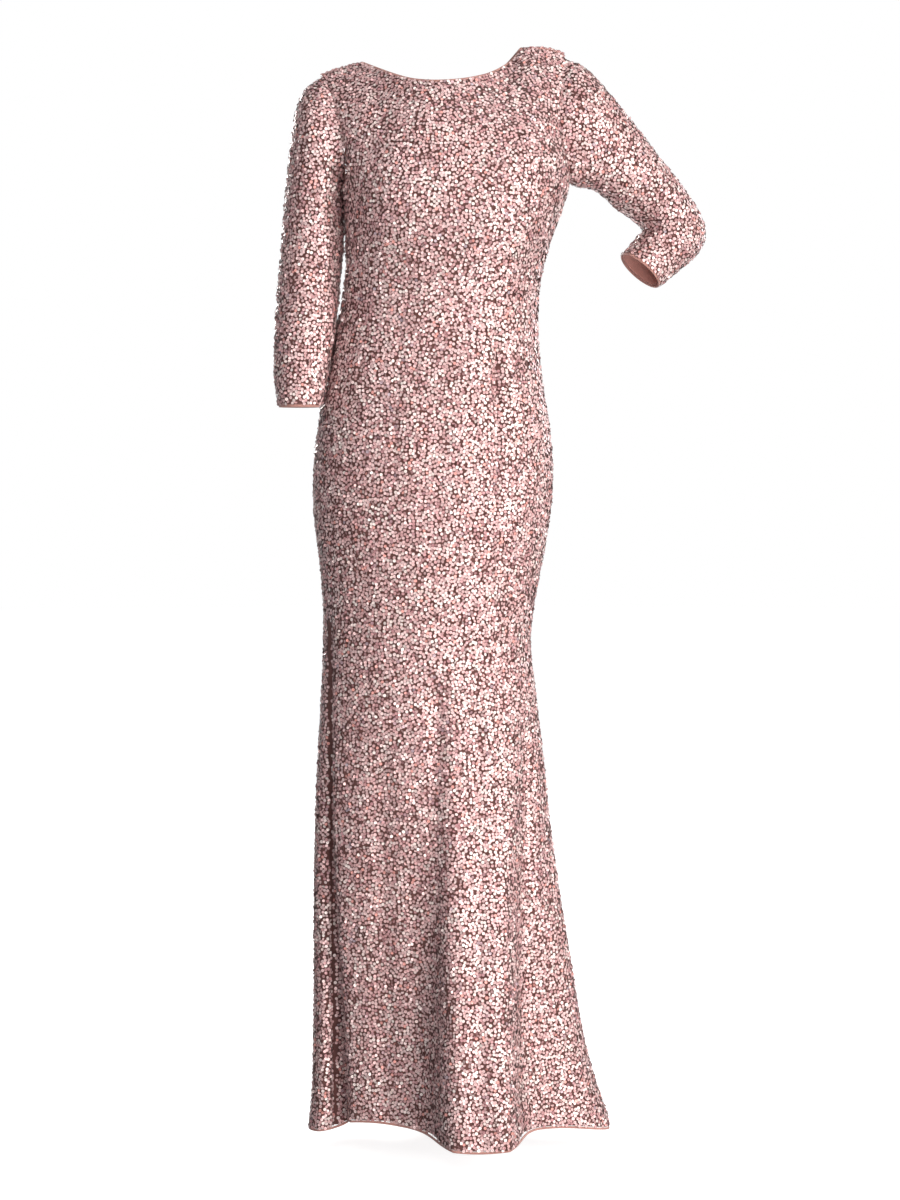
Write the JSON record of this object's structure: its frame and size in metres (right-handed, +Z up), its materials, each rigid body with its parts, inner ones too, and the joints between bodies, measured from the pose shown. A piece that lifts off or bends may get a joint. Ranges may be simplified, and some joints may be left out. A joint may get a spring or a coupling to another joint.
{
  "type": "evening gown",
  "caption": "Full-length fitted evening gown with boat neck and three-quarter sleeves, covered in sequins, in its hollow worn form.",
  "frame": {"origin": "midway between the two neck points of the shoulder seams, where the gown is held", "axes": "+Z up, the front faces -Y, the wearer's left is +X"},
  "size_m": [0.6191, 0.3463, 1.546],
  "materials": {
    "sequin_cloth": "blush tulle covered in small round cupped sequins",
    "edge_cloth": "plain matt salmon lining cloth",
    "zip_tape": "woven tape",
    "zip_metal": "satin enamelled metal"
  },
  "bodies": {
    "gown": {"front": "sequin_cloth", "back_left": "sequin_cloth", "back_right": "sequin_cloth", "sleeve_left": "sequin_cloth", "sleeve_right": "sequin_cloth", "neck_edge": "edge_cloth", "cuff_edge_left": "edge_cloth", "cuff_edge_right": "edge_cloth", "hem_edge": "edge_cloth", "zip_tape": "zip_tape", "zip_slider": "zip_metal"},
    "pull": {"zip_pull": "zip_metal"}
  },
  "joints": [
    {"name": "pull_hinge", "type": "hinge", "parent": "gown", "child": "pull", "pos_m": [0.0026, 0.08748, -0.06312], "axis": [1, 0, 0], "range_deg": [0, 140]}
  ]
}
